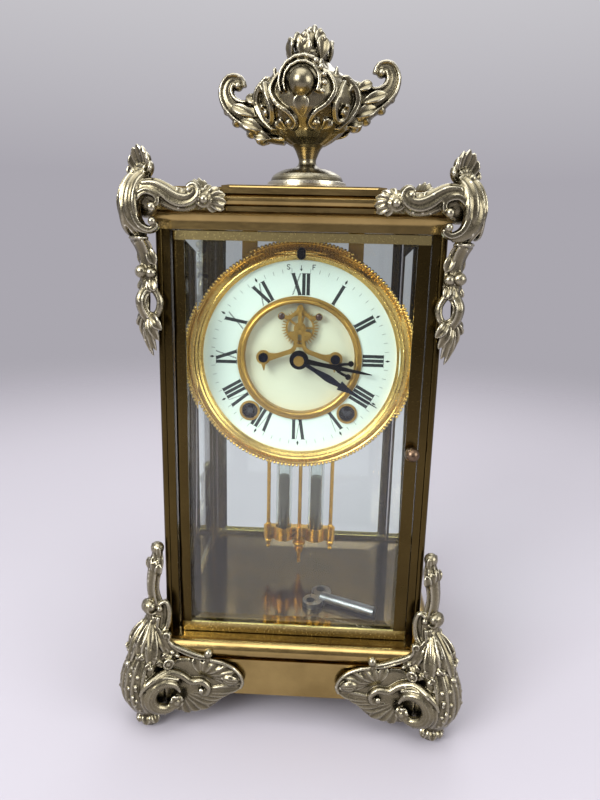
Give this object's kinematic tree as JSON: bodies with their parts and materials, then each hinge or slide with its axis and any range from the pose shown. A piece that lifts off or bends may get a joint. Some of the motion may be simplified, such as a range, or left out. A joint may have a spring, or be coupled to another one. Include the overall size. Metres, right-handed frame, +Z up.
{
  "type": "crystal regulator clock",
  "caption": "Four-glass brass mantel clock with cast scroll feet and mounts, urn finial, enamel dial with open escapement, hinged bevelled doors and a mercury-vial pendulum.",
  "frame": {"origin": "on the table plane, under the middle of the case", "axes": "+Z up; the dial faces -Y; +X is to the right of someone who reads the dial"},
  "size_m": [0.184, 0.172, 0.3772],
  "materials": {
    "gilt_casting": "cast and gilded, worn pale",
    "case_brass": "machined brass, toned",
    "knob_bronze": "browned",
    "glass": "bevelled plate glass",
    "enamel": "fired white enamel",
    "enamel_cream": "fired cream enamel",
    "bezel_brass": "turned and lacquered",
    "movement_brass": "grained",
    "pendulum_brass": "polished",
    "steel": "ground",
    "blued_steel": "blued",
    "black_steel": "blackened",
    "mercury": "liquid metal behind glass"
  },
  "bodies": {
    "case": {"base_plinth": "case_brass", "floor_plate": "case_brass", "foot_front_left": "gilt_casting", "foot_front_right": "gilt_casting", "foot_rear_left": "gilt_casting", "foot_rear_right": "gilt_casting", "toes": "gilt_casting", "corner_posts": "case_brass", "cornice": "case_brass", "top_cap": "case_brass", "corner_mount_front_left": "gilt_casting", "corner_mount_front_right": "gilt_casting", "corner_mount_rear_left": "gilt_casting", "corner_mount_rear_right": "gilt_casting", "side_glass_left": "glass", "side_glass_right": "glass", "door_pins": "steel", "urn_foot": "gilt_casting", "urn_bowl": "gilt_casting", "urn_flame": "gilt_casting", "movement_hangers": "movement_brass", "front_plate": "movement_brass", "back_plate": "movement_brass", "dial_ring": "enamel", "dial_center": "enamel_cream", "bezel": "bezel_brass", "dial_trims": "bezel_brass", "escapement_bridge": "movement_brass", "bridge_screws": "blued_steel", "suspension_cock": "movement_brass", "gong": "blued_steel", "winding_key": "steel"},
    "front_door": {"front_door_frame": "case_brass", "front_door_glass": "glass"},
    "front_latch": {"front_door_knob": "knob_bronze"},
    "back_door": {"back_door_frame": "case_brass", "back_door_glass": "glass"},
    "back_latch": {"back_door_knob": "knob_bronze"},
    "center": {"center_wheel": "movement_brass", "minute_hand": "blued_steel"},
    "hour": {"hour_wheel": "movement_brass", "hour_hand": "black_steel"},
    "minute_work": {"minute_wheel": "movement_brass"},
    "intermediate": {"intermediate_wheel": "movement_brass"},
    "time_barrel": {"time_barrel": "movement_brass"},
    "third": {"third_wheel": "movement_brass"},
    "escape": {"escape_wheel": "movement_brass"},
    "time_arbor": {"time_arbor": "steel"},
    "strike_barrel": {"strike_barrel": "movement_brass"},
    "strike_arbor": {"strike_arbor": "steel"},
    "pin_wheel": {"pin_wheel": "movement_brass"},
    "fly": {"fly": "movement_brass"},
    "hammer": {"hammer": "movement_brass"},
    "pendulum": {"pendulum_rod": "pendulum_brass", "pendulum_frame": "pendulum_brass", "pendulum_vials": "glass", "mercury": "mercury"},
    "pallets": {"pallet_anchor": "movement_brass"},
    "rating_nut": {"rating_nut": "pendulum_brass"},
    "regulator": {"regulator_arbor": "black_steel"}
  },
  "joints": [
    {"name": "front_door_hinge", "type": "hinge", "parent": "case", "child": "front_door", "pos_m": [-0.0597, -0.061, 0.0525], "axis": [0, 0, -1], "range_deg": [0, 90]},
    {"name": "front_latch_turn", "type": "hinge", "parent": "front_door", "child": "front_latch", "pos_m": [0.0591, -0.061, 0.162], "axis": [0, 1, 0], "range_deg": [0, 90]},
    {"name": "back_door_hinge", "type": "hinge", "parent": "case", "child": "back_door", "pos_m": [0.0597, 0.061, 0.0525], "axis": [0, 0, -1], "range_deg": [0, 90]},
    {"name": "back_latch_turn", "type": "hinge", "parent": "back_door", "child": "back_latch", "pos_m": [-0.0591, 0.061, 0.162], "axis": [0, -1, 0], "range_deg": [0, 90]},
    {"name": "center_turn", "type": "hinge", "parent": "case", "child": "center", "pos_m": [0, -0.03, 0.205], "axis": [0, 1, 0], "continuous": true},
    {"name": "hour_turn", "type": "hinge", "parent": "case", "child": "hour", "pos_m": [0, -0.037, 0.205], "axis": [0, 1, 0], "continuous": true},
    {"name": "minute_work_turn", "type": "hinge", "parent": "case", "child": "minute_work", "pos_m": [-0.00786, -0.036, 0.19949], "axis": [0, 1, 0], "continuous": true},
    {"name": "intermediate_turn", "type": "hinge", "parent": "case", "child": "intermediate", "pos_m": [0.01591, -0.01, 0.19576], "axis": [0, 1, 0], "continuous": true},
    {"name": "time_barrel_turn", "type": "hinge", "parent": "case", "child": "time_barrel", "pos_m": [0.0262, -0.012, 0.176], "axis": [0, 1, 0], "continuous": true},
    {"name": "third_turn", "type": "hinge", "parent": "case", "child": "third", "pos_m": [-0.01145, -0.02, 0.21494], "axis": [0, 1, 0], "continuous": true},
    {"name": "escape_turn", "type": "hinge", "parent": "case", "child": "escape", "pos_m": [0, -0.042, 0.2212], "axis": [0, 1, 0], "continuous": true},
    {"name": "time_winding", "type": "hinge", "parent": "case", "child": "time_arbor", "pos_m": [0.0262, -0.02, 0.176], "axis": [0, 1, 0], "continuous": true},
    {"name": "strike_barrel_turn", "type": "hinge", "parent": "case", "child": "strike_barrel", "pos_m": [-0.0262, -0.012, 0.176], "axis": [0, 1, 0], "continuous": true},
    {"name": "pin_wheel_turn", "type": "hinge", "parent": "case", "child": "pin_wheel", "pos_m": [-0.03007, -0.01, 0.19794], "axis": [0, 1, 0], "continuous": true},
    {"name": "fly_turn", "type": "hinge", "parent": "case", "child": "fly", "pos_m": [-0.0314, -0.02, 0.21318], "axis": [0, 1, 0], "continuous": true},
    {"name": "strike_winding", "type": "hinge", "parent": "case", "child": "strike_arbor", "pos_m": [-0.0262, -0.02, 0.176], "axis": [0, 1, 0], "continuous": true},
    {"name": "hammer_lift", "type": "hinge", "parent": "case", "child": "hammer", "pos_m": [0, 0, 0.155], "axis": [0, 1, 0], "range_deg": [0, 15]},
    {"name": "pendulum_swing", "type": "hinge", "parent": "case", "child": "pendulum", "pos_m": [0, 0.012, 0.232], "axis": [0, 1, 0], "range_deg": [-4, 4]},
    {"name": "pallets_rock", "type": "hinge", "parent": "case", "child": "pallets", "pos_m": [0, -0.02, 0.232], "axis": [0, 1, 0], "range_deg": [-4, 4]},
    {"name": "rating_nut_turn", "type": "hinge", "parent": "pendulum", "child": "rating_nut", "pos_m": [0, 0.012, 0.0725], "axis": [0, 0, 1], "continuous": true},
    {"name": "regulator_turn", "type": "hinge", "parent": "case", "child": "regulator", "pos_m": [0, -0.04, 0.2584], "axis": [0, 1, 0], "range_deg": [-180, 180]}
  ],
  "couplings": [
    {"joint": "hour_turn", "follows": "center_turn", "ratio": 0.083333},
    {"joint": "minute_work_turn", "follows": "center_turn", "ratio": -0.33333},
    {"joint": "intermediate_turn", "follows": "center_turn", "ratio": -0.14286},
    {"joint": "time_barrel_turn", "follows": "center_turn", "ratio": 0.017857},
    {"joint": "third_turn", "follows": "center_turn", "ratio": -12},
    {"joint": "escape_turn", "follows": "center_turn", "ratio": 137.14},
    {"joint": "pin_wheel_turn", "follows": "strike_barrel_turn", "ratio": -8},
    {"joint": "fly_turn", "follows": "strike_barrel_turn", "ratio": 89.143},
    {"joint": "pallets_rock", "follows": "pendulum_swing", "ratio": 1}
  ]
}
